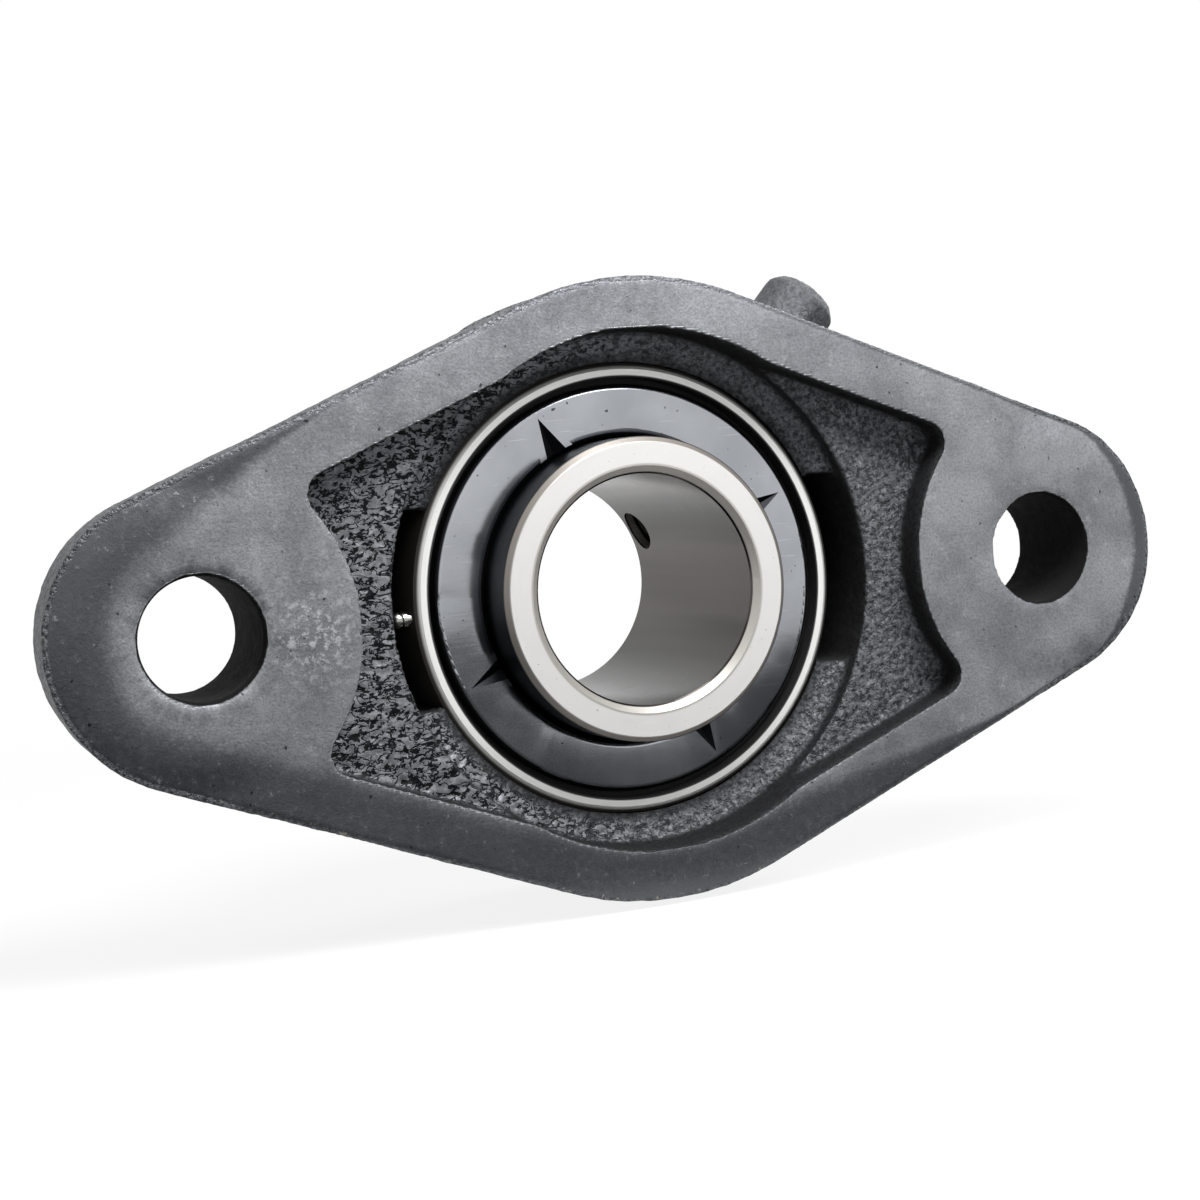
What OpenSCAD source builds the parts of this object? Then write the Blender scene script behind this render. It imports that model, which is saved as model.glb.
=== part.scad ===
// Two-bolt flange bearing: a cast rhombic housing that carries a self-aligning
// ball bearing insert with set screws. The shaft runs along Y. The mounting face
// lies in the plane Y = 0 and looks towards -Y, the set screws are at the front,
// and the bolt line is the X axis.

/* [Housing outline] */
// Distance between the two bolt holes
bolt_spacing = 117; // [112:0.5:122]
// Diameter of the bolt holes
bolt_hole_d = 15; // [11:0.5:16.5]
// Distance from the spherical seat to the edge of the flange across its middle
flange_wall = 9.3; // [9:0.1:11]
// Radius of each rounded end round its bolt hole
lug_r = 18.6; // [17:0.1:20]
// Thickness of the flange plate
flange_t = 15; // [13.5:0.5:16]
// How much narrower each side of the flange is at the front, for the foundry's draft
draft = 0.5; // [0.2:0.1:1]
// Radius along the back edge of the flange
back_edge_r = 0.8; // [0.4:0.1:1.4]
// Radius along the front edge of the flange
front_edge_r = 2.4; // [1:0.1:3]
// Height of the round pads that the bolt heads sit on, above the flange plate
pad_h = 2; // [1:0.1:2.5]
// Radius of the bolt pads
pad_r = 15; // [13:0.1:16]

/* [Housing hub] */
// Length of the hub in front of the spherical seat
front_lip = 3.8; // [3:0.1:5]
// Distance from the mounting face to the centre of the spherical seat
seat_y = 18; // [17.5:0.1:18.5]
// Wall of the hub outside the spherical seat, where it rises from the flange
hub_wall = 6.6; // [6:0.1:7.2]
// How much the radius of the hub shrinks towards its front
hub_taper = 1.2; // [0.6:0.1:1.8]
// Fillet between the flange and the hub
hub_fillet = 2.4; // [1.5:0.1:3]
// Bevel round the front of the hub
hub_bevel = 1.2; // [0.6:0.1:1.8]

/* [Recess in the back] */
// Wall left between the recess and the outline of the flange
rim_wall = 7.6; // [7:0.1:9]
// Depth of the recess
recess_depth = 5; // [4:0.1:6]
// Radius of the arc that the recess leaves round each bolt hole
recess_lug_r = 23; // [20:0.5:25]
// Wall between the bolt hole's centre line and the recess
recess_lug_wall = 19.7; // [18.5:0.1:20.5]
// Radius in the four corners of the recess
recess_corner_r = 2.8; // [2:0.1:3.4]
// Width of the well round the bearing, outside the spherical seat
well_w = 2.4; // [2:0.1:2.9]
// Depth of the well below the floor of the recess
well_depth = 2.2; // [1.5:0.1:2.4]
// Width of the two slots through which the insert is loaded
slot_w = 25.4; // [23:0.1:27]
// How far the slots run past the centre of the seat
slot_past = 1.6; // [1.2:0.1:2.5]

/* [Insert] */
// Distance from the circle of the balls to the spherical seat
ring_wall = 8.35; // [8:0.05:8.6]
// Clearance between the outer ring and its seat, on the radius
seat_gap = 0.04; // [0.03:0.01:0.08]
// Width of the outer ring
outer_w = 19; // [18.5:0.1:19.3]
// Bevel at the rims of the outer ring
outer_bevel = 0.7; // [0.4:0.1:1]
// Distance from the circle of the balls to the mouth at each side of the outer ring
mouth_rise = 5.1; // [4.8:0.05:5.2]
// Distance from the circle of the balls to the shoulders beside the outer raceway
shoulder_rise = 3; // [2.6:0.1:3.3]
// Diameter of the shaft bore
bore_d = 30; // [28:0.5:31]
// Length of the inner ring
inner_len = 38.1; // [37.5:0.1:39]
// Distance from the centre of the balls to the back end of the inner ring
short_side = 15.9; // [15.4:0.1:16.3]
// Outer diameter of the inner ring
inner_od = 39.6; // [39.3:0.1:39.9]
// Bevel at the outer corners of the inner ring
inner_bevel = 0.8; // [0.4:0.1:1.2]
// Bevel at both ends of the bore
bore_bevel = 1; // [0.5:0.1:1.4]

/* [Balls and cage] */
// Number of balls
ball_count = 9; // [8:1:9]
// Diameter of each ball
ball_d = 9.525; // [9.3:0.025:9.6]
// Distance from the outside of the inner ring to the circle of the balls
ball_rise = 2.85; // [2.8:0.05:2.9]
// Radial play between a ball and each raceway
ball_play = 0.04; // [0.02:0.01:0.06]
// Raceway radius as a share of the ball diameter
race_share = 0.517; // [0.515:0.001:0.52]
// Thickness of the pressed cage halves
cage_t = 0.8; // [0.6:0.05:0.9]
// Width of the cage strip, measured along the radius
cage_w = 3.2; // [2.8:0.1:3.6]
// Clearance between a ball and its cage pocket
pocket_gap = 0.15; // [0.1:0.01:0.2]
// Diameter of the cage rivets
rivet_d = 1.6; // [1.4:0.1:1.8]

/* [Seals and flingers] */
// Thickness of the steel core of each seal
core_t = 0.6; // [0.5:0.05:0.7]
// Clearance between a seal lip and the inner ring
lip_gap = 0.05; // [0.04:0.01:0.1]
// Depth of each flinger below the face of the outer ring
flinger_sink = 0.4; // [0.2:0.1:0.6]
// Thickness of each flinger
flinger_t = 0.7; // [0.6:0.05:0.8]
// Gap between a flinger and the mouth of the outer ring
flinger_gap = 1.5; // [1.2:0.1:1.7]
// Radius of the bend at the flinger's outer rim
rim_bend_r = 0.9; // [0.85:0.05:1.1]
// Radius of the bend beside the inner ring
collar_bend_r = 1.3; // [1.1:0.1:1.4]
// Number of dimples pressed in each flinger
dimple_count = 4; // [3:1:6]
// Length of each dimple
dimple_len = 4.6; // [4:0.1:5]
// Depth of each dimple at its wide end
dimple_depth = 1; // [0.7:0.05:1.1]
// Width of each dimple at its wide end
dimple_w = 3; // [2.4:0.1:3.4]
// Angle of the first dimple above the bolt line
dimple_angle = 25; // [0:1:89]

/* [Set screws] */
// Thread diameter of the set screws
screw_d = 6; // [5:0.5:6.2]
// Length of each set screw
screw_len = 6.5; // [6:0.5:8]
// Distance from the front end of the inner ring to the set screws
screw_end = 4.8; // [4.4:0.1:6]
// Width of the hexagon socket across its flats
socket_af = 3; // [2.5:0.5:3]
// Depth of the hexagon socket
socket_depth = 3; // [2:0.5:3.5]
// Angle of the first set screw above the bolt line
screw_angle = 26; // [10:1:60]
// Angle between the two set screws
screw_spread = 120; // [90:5:135]
// How far the screw tips are drawn back from the bore
screw_back = 1.3; // [0.5:0.1:2]

/* [Locating pin and lubrication] */
// Diameter of the locating pin
pin_d = 1.7; // [1.4:0.1:2]
// How far the locating pin stands out of the outer ring
pin_out = 2.6; // [2:0.1:2.8]
// How deep the locating pin sits in the outer ring
pin_in = 1.8; // [1.4:0.1:2]
// Distance of the locating pin from the back face of the outer ring
pin_edge = 2; // [1.6:0.1:2.4]
// Angle of the locating pin, counted from the +X end of the bolt line
pin_angle = 182; // [176:1:186]
// Distance of the grease groove from the centre of the outer ring
groove_off = 4.6; // [4.2:0.1:6]
// Width of the grease groove
groove_w = 2.4; // [2:0.1:2.8]
// Depth of the grease groove
groove_depth = 0.6; // [0.4:0.1:0.8]
// Diameter of the grease passages
passage_d = 2.4; // [1.6:0.1:2.6]
// Angle of the grease boss above the bolt line
boss_angle = 46; // [40:1:50]
// Diameter of the grease boss
boss_d = 14; // [12.5:0.1:14]
// Distance from the shaft axis to the end of the grease boss
boss_reach = 53; // [51:0.1:54]
// Bevel round the end of the grease boss
boss_bevel = 1.4; // [0.8:0.1:1.8]
// Lean of the grease nipple towards the front
nipple_lean = 22; // [18:1:26]
// Distance from the spherical seat to the face under the nipple
nipple_seat = 11.6; // [11:0.1:12.5]
// Thread diameter of the grease nipple
nipple_d = 6; // [5:0.5:6.2]
// Length of the nipple's thread
nipple_thread = 5.4; // [4.5:0.1:6]
// Width of the nipple's hexagon across its flats
nipple_af = 7; // [6.5:0.1:7.2]
// Diameter of the ball in the nipple's mouth
nipple_ball_d = 2.4; // [2.2:0.1:2.4]
// Wire diameter of the nipple's spring
spring_wire = 0.4; // [0.3:0.05:0.45]

/* [Hidden] */
$fn = 72;

// A cut runs this far past the face it breaks through
past = 1;
// Clearance on the radius between a fastener and its hole
fit = 0.02;
// Clearance on the radius between a set screw and its hole
screw_fit = 0.05;

iron = "dimgray";
steel = "silver";
dark_steel = "slategray";
rubber = "black";
zinc = "darkkhaki";

// Rings from the shaft outwards, with distances along it counted from the ball centres
bore_r = bore_d / 2;
inner_r = inner_od / 2;
ball_r = ball_d / 2;
pitch_r = inner_r + ball_rise;
outer_shoulder_r = pitch_r + shoulder_rise;
mouth_r = pitch_r + mouth_rise;
sphere_r = pitch_r + ring_wall;
race_r = race_share * ball_d;
outer_race_c = pitch_r + ball_r + ball_play - race_r;
inner_race_c = pitch_r - ball_r - ball_play + race_r;
inner_front = inner_len - short_side;
half_w = outer_w / 2;
face_r = sqrt(pow(sphere_r, 2) - pow(half_w, 2)) - outer_bevel;
rim_slope = (sphere_r - face_r) * 0.7;

// Housing round the seat
seat_half = half_w - 0.3;
seat_edge_r = sqrt(pow(sphere_r, 2) - pow(seat_half, 2));
housing_depth = seat_y + seat_half + front_lip;
hub_base_r = sphere_r + hub_wall;
hub_front_r = hub_base_r - hub_taper;
well_r = sphere_r + well_w;
well_y = recess_depth + well_depth;

// Flange outline: a large middle circle and two lug circles, joined by tangents
body_r = sphere_r + flange_wall;
bolt_x = bolt_spacing / 2;
side_angle = asin((body_r - lug_r) / bolt_x);

// Recess outline, inside that of the flange
recess_r = body_r - rim_wall;
recess_lug_x = bolt_x - recess_lug_wall + recess_lug_r;
corner_line = recess_r - recess_corner_r;
corner_reach = recess_lug_r + recess_corner_r;
corner_along = recess_lug_x * cos(side_angle)
    - sqrt(pow(corner_reach, 2) - pow(recess_lug_x * sin(side_angle) - corner_line, 2));
corner_c = corner_line * [sin(side_angle), cos(side_angle)]
    + corner_along * [cos(side_angle), -sin(side_angle)];
corner_turn = atan2(corner_c.y, recess_lug_x - corner_c.x);

// Cage: each pocket is a shell round its ball
shell_in = ball_r + pocket_gap;
shell_out = shell_in + cage_t;
ball_step = 360 / ball_count;
rivet_head_r = rivet_d * 0.9;
rivet_head_h = rivet_d * 0.42;

// Seals sit between the flingers and the cage, their rims in grooves in the outer ring
flinger_face = half_w - flinger_sink;
flinger_r = mouth_r - flinger_gap;
flinger_deep = max(dimple_depth + flinger_t, rim_bend_r + 0.9);
seal_space = 0.3;
core_out = flinger_face - flinger_deep - seal_space;
core_in = core_out - core_t;
seal_groove_r = mouth_r + 0.55;
seal_groove_play = 0.35;
core_rim_r = seal_groove_r - 0.1;
core_hole_r = inner_r + 1.9;
lip_r = inner_r + lip_gap;

// Set screws
screw_y = inner_front - screw_end;
screw_r = screw_d / 2;
screw_tip = bore_r + screw_back;

// Locating pin
pin_y = pin_edge - half_w;
pin_surface = sqrt(pow(sphere_r, 2) - pow(pin_y, 2));
pin_r = pin_d / 2;
pin_head_r = pin_r * 1.35;

// Lubrication: groove, passage and nipple meet at the seat
groove_r = sqrt(pow(sphere_r, 2) - pow(groove_off, 2));
boss_y = groove_off;
boss_r = boss_d / 2;
nipple_hex_h = 3;
nipple_neck_h = 3;
nipple_head_h = 3.2;
nipple_neck_r = 2.1;
nipple_head_r = 3.2;
nipple_mouth_r = nipple_ball_d * 0.36;
nipple_chamber_r = nipple_ball_d / 2 + 0.2;
nipple_top = nipple_hex_h + nipple_neck_h + nipple_head_h;
nipple_seat_z = nipple_top - 0.5;
nipple_ball_z = nipple_seat_z - nipple_ball_d / 2;
spring_top = nipple_ball_z - nipple_ball_d * 0.35;
spring_bottom = -nipple_thread + 0.7;
spring_r = nipple_chamber_r - spring_wire / 2 - 0.1;
spring_turns = 7;
spring_steps = 12;
spring_sides = 6;

// Places: the shaft axis is Y, and a polar angle turns from +X towards +Z
module along_shaft() {
    rotate([-90, 0, 0]) children();
}

module at_seat() {
    translate([0, seat_y, 0]) children();
}

module at_angle(angle) {
    rotate([0, -angle, 0]) children();
}

module radial(y) {
    translate([0, y, 0]) rotate([0, 90, 0]) children();
}

module both_sides() {
    children();
    mirror([1, 0, 0]) children();
}

module ring_of(profile_y = 0) {
    translate([0, profile_y, 0]) along_shaft() rotate_extrude() children();
}

// The back half of the insert is the mirror image of the front half
module to_back() {
    translate([0, 2 * seat_y, 0]) mirror([0, 1, 0]) children();
}

// Points of an arc in steps of about so many degrees
function arc(c, r, from, to, pitch = 3) = let (steps = max(2, ceil(abs(to - from) / pitch))) [
    for (i = [0:steps])
        let (a = from + (to - from) * i / steps)
        c + r * [cos(a), sin(a)]
];

module flange_disc(r) {
    front_r = r - draft;
    ring_of() polygon([
        [0, 0],
        each arc([r - back_edge_r, back_edge_r], back_edge_r, -90, 0, 30),
        each arc([front_r - front_edge_r, flange_t - front_edge_r], front_edge_r, 0, 90, 30),
        [0, flange_t]
    ]);
}

module flange_plate() {
    hull() {
        flange_disc(body_r);
        both_sides() translate([bolt_x, 0, 0]) flange_disc(lug_r);
    }
    both_sides() translate([bolt_x, 0, 0]) ring_of() polygon([
        [0, flange_t - past], [pad_r + pad_h, flange_t - past],
        [pad_r + pad_h, flange_t], [pad_r, flange_t + pad_h], [0, flange_t + pad_h]
    ]);
}

module hub() {
    foot = hub_base_r + hub_fillet;
    ring_of() polygon([
        [0, flange_t - past], [foot, flange_t - past],
        for (a = [270:-15:180]) [foot, flange_t + hub_fillet] + hub_fillet * [cos(a), sin(a)],
        [hub_front_r, housing_depth - hub_bevel], [hub_front_r - hub_bevel, housing_depth],
        [0, housing_depth]
    ]);
}

// The boss points outwards and carries the nipple on a face cut into its front
module grease_boss() {
    at_seat() at_angle(boss_angle) radial(boss_y) {
        cylinder(r = boss_r, h = boss_reach - boss_bevel);
        translate([0, 0, boss_reach - boss_bevel])
            cylinder(r1 = boss_r, r2 = boss_r - boss_bevel, h = boss_bevel);
    }
}

// Local frame of the nipple: Z runs along its axis and 0 lies on the face below its hexagon
module at_nipple() {
    at_seat() at_angle(boss_angle) translate([groove_r, groove_off, 0])
        rotate([0, 0, nipple_lean]) translate([nipple_seat, 0, 0]) rotate([0, 90, 0]) children();
}

// The recess follows the sides of the flange and bulges in round each bolt hole
module recess_outline() {
    turn = 90 - side_angle;
    bulge = corner_turn;
    polygon([
        each arc([corner_c.x, -corner_c.y], recess_corner_r, -turn, bulge),
        each arc([recess_lug_x, 0], recess_lug_r, 180 + bulge, 180 - bulge),
        each arc(corner_c, recess_corner_r, -bulge, turn),
        each arc([0, 0], recess_r, turn, 180 - turn),
        each arc([-corner_c.x, corner_c.y], recess_corner_r, 180 - turn, 180 + bulge),
        each arc([-recess_lug_x, 0], recess_lug_r, bulge, -bulge),
        each arc(-corner_c, recess_corner_r, 180 - bulge, 180 + turn),
        each arc([0, 0], recess_r, 180 + turn, 360 - turn)
    ]);
}

module loading_slots() {
    deep = seat_y + slot_past + past;
    intersection() {
        translate([0, -past, 0]) along_shaft() cylinder(r = well_r, h = deep);
        translate([-2 * well_r, -past, -slot_w / 2]) cube([4 * well_r, deep, slot_w]);
    }
}

module seat_section() {
    half_plane = well_r + housing_depth;
    intersection() {
        square(half_plane);
        union() {
            translate([0, seat_y]) circle(sphere_r);
            polygon([
                [0, 0], [well_r, 0], [well_r, well_y],
                [seat_edge_r, seat_y - seat_half], [0, seat_y - seat_half]
            ]);
            polygon([
                [0, seat_y + seat_half], [seat_edge_r, seat_y + seat_half],
                [seat_edge_r, housing_depth - hub_bevel], [seat_edge_r + hub_bevel, housing_depth],
                [seat_edge_r + hub_bevel, housing_depth + past], [0, housing_depth + past]
            ]);
        }
    }
}

module flange_housing() {
    color(iron) difference() {
        union() {
            flange_plate();
            hub();
            grease_boss();
        }
        translate([0, -past, 0]) along_shaft() linear_extrude(recess_depth + past) recess_outline();
        ring_of() seat_section();
        loading_slots();
        for (s = [-1, 1]) translate([s * bolt_x, -past, 0]) along_shaft()
            cylinder(d = bolt_hole_d, h = flange_t + pad_h + 2 * past);
        at_nipple() {
            cylinder(r = nipple_af * 0.75, h = boss_reach);
            translate([0, 0, -nipple_thread - past]) cylinder(r = nipple_d / 2 + fit, h = boss_reach);
            translate([0, 0, -nipple_seat - past]) cylinder(d = passage_d, h = nipple_seat + past);
        }
    }
}

// Section of the outer ring: a spherical outside, mouths, seal grooves, shoulders and raceway
module outer_ring_section() {
    groove_out = core_out + 0.1;
    groove_in = core_in - seal_groove_play;
    difference() {
        intersection() {
            circle(sphere_r - seat_gap);
            polygon([
                [mouth_r, -half_w], [face_r, -half_w], [sphere_r, rim_slope - half_w],
                [sphere_r, half_w - rim_slope], [face_r, half_w], [mouth_r, half_w],
                [mouth_r, groove_out], [seal_groove_r, groove_out], [seal_groove_r, groove_in],
                [outer_shoulder_r, groove_in], [outer_shoulder_r, -groove_in],
                [seal_groove_r, -groove_in], [seal_groove_r, -groove_out], [mouth_r, -groove_out]
            ]);
        }
        translate([outer_race_c, 0]) circle(race_r);
        translate([groove_r - groove_depth, groove_off - groove_w / 2]) square([sphere_r, groove_w]);
    }
}

module outer_ring() {
    color(steel) at_seat() difference() {
        ring_of() outer_ring_section();
        for (a = [boss_angle, boss_angle + 180]) at_angle(a) radial(groove_off)
            cylinder(d = passage_d * 0.6, h = sphere_r);
        at_angle(pin_angle) radial(pin_y) translate([0, 0, pin_surface - pin_in])
            cylinder(r = pin_r + fit, h = pin_in + past);
    }
}

module inner_ring() {
    color(steel) at_seat() difference() {
        ring_of() difference() {
            polygon([
                [bore_r, bore_bevel - short_side], [bore_r + bore_bevel, -short_side],
                [inner_r - inner_bevel, -short_side], [inner_r, inner_bevel - short_side],
                [inner_r, inner_front - inner_bevel], [inner_r - inner_bevel, inner_front],
                [bore_r + bore_bevel, inner_front], [bore_r, inner_front - bore_bevel]
            ]);
            translate([inner_race_c, 0]) circle(race_r);
        }
        for (a = [screw_angle, screw_angle + screw_spread]) at_angle(a) radial(screw_y)
            cylinder(r = screw_r + screw_fit, h = inner_od);
    }
}

module ball(index) {
    color("gainsboro") at_seat() at_angle((index - 1) * ball_step) translate([pitch_r, 0, 0])
        sphere(ball_r);
}

module at_each_ball(offset = 0) {
    for (i = [0:ball_count - 1]) at_angle(i * ball_step + offset) translate([pitch_r, 0, 0])
        children();
}

// Front half of the cage: flat strips between the balls and a half shell over each ball
module cage_half() {
    color(dark_steel) at_seat() difference() {
        intersection() {
            union() {
                translate([0, -past, 0]) along_shaft() cylinder(r = pitch_r + cage_w, h = cage_t + past);
                at_each_ball() sphere(shell_out);
            }
            ring_of() translate([pitch_r - cage_w / 2, 0]) square([cage_w, shell_out + past]);
        }
        at_each_ball() sphere(shell_in);
        at_each_ball(ball_step / 2) translate([0, -past, 0]) along_shaft()
            cylinder(r = rivet_d / 2 + fit, h = cage_t + 2 * past);
    }
}

// Domed head of a rivet, standing on the plane z = 0
module rivet_head() {
    dome_r = (pow(rivet_head_r, 2) + pow(rivet_head_h, 2)) / (2 * rivet_head_h);
    intersection() {
        translate([0, 0, rivet_head_h - dome_r]) sphere(dome_r);
        cylinder(r = rivet_head_r, h = rivet_head_h + past);
    }
}

module cage_rivets() {
    color(zinc) at_seat() at_each_ball(ball_step / 2) along_shaft() {
        translate([0, 0, -cage_t]) cylinder(r = rivet_d / 2, h = 2 * cage_t);
        translate([0, 0, cage_t]) rivet_head();
        mirror([0, 0, 1]) translate([0, 0, cage_t]) rivet_head();
    }
}

// Sections of the front seal, with distances from the ball centres
module core_section() {
    polygon([
        [core_hole_r, core_in], [core_rim_r, core_in], [core_rim_r, core_out], [core_hole_r, core_out]
    ]);
}

module seal_core() {
    color(dark_steel) at_seat() ring_of() core_section();
}

// The lip wraps the inner edge of the core and ends in two sealing edges
module seal_lip() {
    wrap = 0.15;
    color(rubber) at_seat() ring_of() difference() {
        polygon([
            [core_hole_r + 1, core_in - wrap], [core_hole_r + 1, core_out + wrap],
            [core_hole_r - 0.6, core_out + wrap], [lip_r, core_out], [lip_r, core_out - 0.2],
            [lip_r + 0.5, (core_in + core_out) / 2], [lip_r, core_in + 0.2], [lip_r, core_in],
            [core_hole_r - 0.6, core_in - wrap]
        ]);
        core_section();
    }
}

// Quarter of a bend between two walls, centred on the origin and reaching -x, +y
module bend_section(r) {
    difference() {
        intersection() {
            circle(r);
            translate([-r, 0]) square(r);
        }
        circle(r - flinger_t);
    }
}

// Section of the front flinger; y = 0 is its outer face, and it reaches down to y < 0
module flinger_section() {
    collar_c = inner_r + collar_bend_r;
    rim_c = flinger_r - rim_bend_r;
    translate([collar_c, -flinger_t]) square([rim_c - collar_c, flinger_t]);
    translate([collar_c, -collar_bend_r]) bend_section(collar_bend_r);
    translate([rim_c, -rim_bend_r]) mirror([1, 0]) bend_section(rim_bend_r);
    translate([inner_r, -flinger_deep]) square([flinger_t, flinger_deep - collar_bend_r]);
    translate([flinger_r - flinger_t, -flinger_deep])
        square([flinger_t, flinger_deep - rim_bend_r]);
}

// A wedge whose keel sinks from the dimple's tip to its wide end; Z is the flinger's outside
module dimple_wedge() {
    tip_r = inner_r + collar_bend_r / 2 + dimple_len;
    keel = atan(dimple_depth / dimple_len);
    spread = dimple_w / dimple_depth;
    reach = 2 * dimple_len;
    translate([tip_r, 0, 0]) rotate([0, -keel, 0]) translate([-dimple_len - past, 0, 0]) rotate([90, 0, 90])
        linear_extrude(dimple_len + 2 * past)
            polygon([[0, 0], [reach * spread / 2, reach], [-reach * spread / 2, reach]]);
}

// Only the part of a wedge over the flinger's plate is pressed in
module dimple_zone(deep) {
    translate([0, 0, -deep]) difference() {
        cylinder(r = flinger_r - rim_bend_r, h = deep);
        translate([0, 0, -past]) cylinder(r = inner_r + collar_bend_r / 2, h = deep + 2 * past);
    }
}

module flinger() {
    color("gray") translate([0, seat_y + flinger_face, 0]) along_shaft() difference() {
        union() {
            rotate_extrude() flinger_section();
            for (i = [0:dimple_count - 1]) rotate(-dimple_angle - i * 360 / dimple_count)
                intersection() {
                    translate([0, 0, -flinger_t]) dimple_wedge();
                    dimple_zone(dimple_depth + flinger_t);
                }
        }
        for (i = [0:dimple_count - 1]) rotate(-dimple_angle - i * 360 / dimple_count)
            intersection() {
                dimple_wedge();
                translate([0, 0, past]) dimple_zone(dimple_depth + flinger_t + past);
            }
    }
}

module set_screw(angle) {
    point = screw_r * 0.35;
    color("darkslategray") at_seat() at_angle(angle) radial(screw_y) translate([0, 0, screw_tip])
        difference() {
            union() {
                cylinder(r1 = screw_r - point, r2 = screw_r, h = point);
                translate([0, 0, point]) cylinder(r = screw_r, h = screw_len - point);
            }
            translate([0, 0, screw_len - socket_depth])
                cylinder(d = socket_af / cos(30), h = socket_depth + past, $fn = 6);
            translate([0, 0, -past]) cylinder(r1 = screw_r - point + past / 2, r2 = 0,
                h = (screw_r - point) * 0.6 + past);
        }
}

module locating_pin() {
    color(steel) at_seat() at_angle(pin_angle) radial(pin_y) {
        translate([0, 0, pin_surface - pin_in]) cylinder(r = pin_r, h = pin_in + pin_out - pin_head_r);
        translate([0, 0, pin_surface + pin_out - pin_head_r]) sphere(pin_head_r);
        translate([0, 0, pin_surface + 0.35]) cylinder(r = pin_head_r, h = 0.5);
    }
}

module grease_nipple() {
    neck_top = nipple_hex_h + nipple_neck_h;
    color(zinc) at_nipple() difference() {
        union() {
            translate([0, 0, -nipple_thread]) cylinder(d = nipple_d, h = nipple_thread);
            intersection() {
                cylinder(d = nipple_af / cos(30), h = nipple_hex_h, $fn = 6);
                cylinder(r1 = nipple_af * 0.7, r2 = nipple_af * 0.5, h = nipple_hex_h * 1.25);
            }
            rotate_extrude() polygon([
                [0, 0], [nipple_neck_r * 1.4, 0], [nipple_neck_r * 1.4, nipple_hex_h],
                [nipple_neck_r, nipple_hex_h + 1.2], [nipple_neck_r, neck_top],
                [nipple_head_r, neck_top + 1], [nipple_head_r, neck_top + 1.6],
                [nipple_mouth_r + 0.7, nipple_top], [0, nipple_top]
            ]);
        }
        translate([0, 0, -nipple_thread - past]) cylinder(r = nipple_mouth_r, h = nipple_top * 2);
        rotate_extrude() polygon([
            [0, spring_bottom], [nipple_chamber_r, spring_bottom],
            [nipple_chamber_r, nipple_ball_z], [0, nipple_ball_z + nipple_chamber_r]
        ]);
    }
}

// The ball's centre is where it touches the cone of its seat
function seated_ball_z() = nipple_ball_z + nipple_chamber_r - nipple_ball_d / 2 * sqrt(2) - 0.02;

module nipple_ball() {
    color(steel) at_nipple() translate([0, 0, seated_ball_z()]) sphere(d = nipple_ball_d);
}

// Points of the spring's wire, ring by ring along the helix
function spring_ring(step) = let (
        angle = 360 * step / spring_steps,
        rise = (spring_top - spring_bottom - spring_wire - 0.1) / (spring_turns * spring_steps),
        z = spring_bottom + 0.05 + spring_wire / 2 + rise * step
    ) [
        for (k = [0:spring_sides - 1])
            let (w = 360 * k / spring_sides, r = spring_r + spring_wire / 2 * cos(w))
            [r * cos(angle), r * sin(angle), z + spring_wire / 2 * sin(w)]
    ];

module nipple_spring() {
    rings = spring_turns * spring_steps;
    points = [for (i = [0:rings]) each spring_ring(i)];
    last = rings * spring_sides;
    faces = [
        [for (k = [0:spring_sides - 1]) k],
        [for (k = [spring_sides - 1:-1:0]) last + k],
        for (i = [0:rings - 1], k = [0:spring_sides - 1])
            let (a = i * spring_sides + k, b = i * spring_sides + (k + 1) % spring_sides)
            [a, a + spring_sides, b + spring_sides, b]
    ];
    color(steel) at_nipple() polyhedron(points, faces);
}

flange_housing();
outer_ring();
inner_ring();
ball(1);  // ball_1
ball(2);  // ball_2
ball(3);  // ball_3
ball(4);  // ball_4
ball(5);  // ball_5
ball(6);  // ball_6
ball(7);  // ball_7
ball(8);  // ball_8
ball(9);  // ball_9
to_back() cage_half();  // cage_back
cage_half();  // cage_front
cage_rivets();
to_back() seal_core();  // seal_core_back
to_back() seal_lip();  // seal_lip_back
seal_core();  // seal_core_front
seal_lip();  // seal_lip_front
to_back() flinger();  // flinger_back
flinger();  // flinger_front
set_screw(screw_angle);  // set_screw_1
set_screw(screw_angle + screw_spread);  // set_screw_2
locating_pin();
grease_nipple();
nipple_ball();
nipple_spring();
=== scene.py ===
"""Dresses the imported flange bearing: finishes, cast skin, soft studio light and the camera."""
import math

import bmesh
import bpy
import numpy as np
from mathutils import Matrix, Vector, noise as solid_noise


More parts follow.
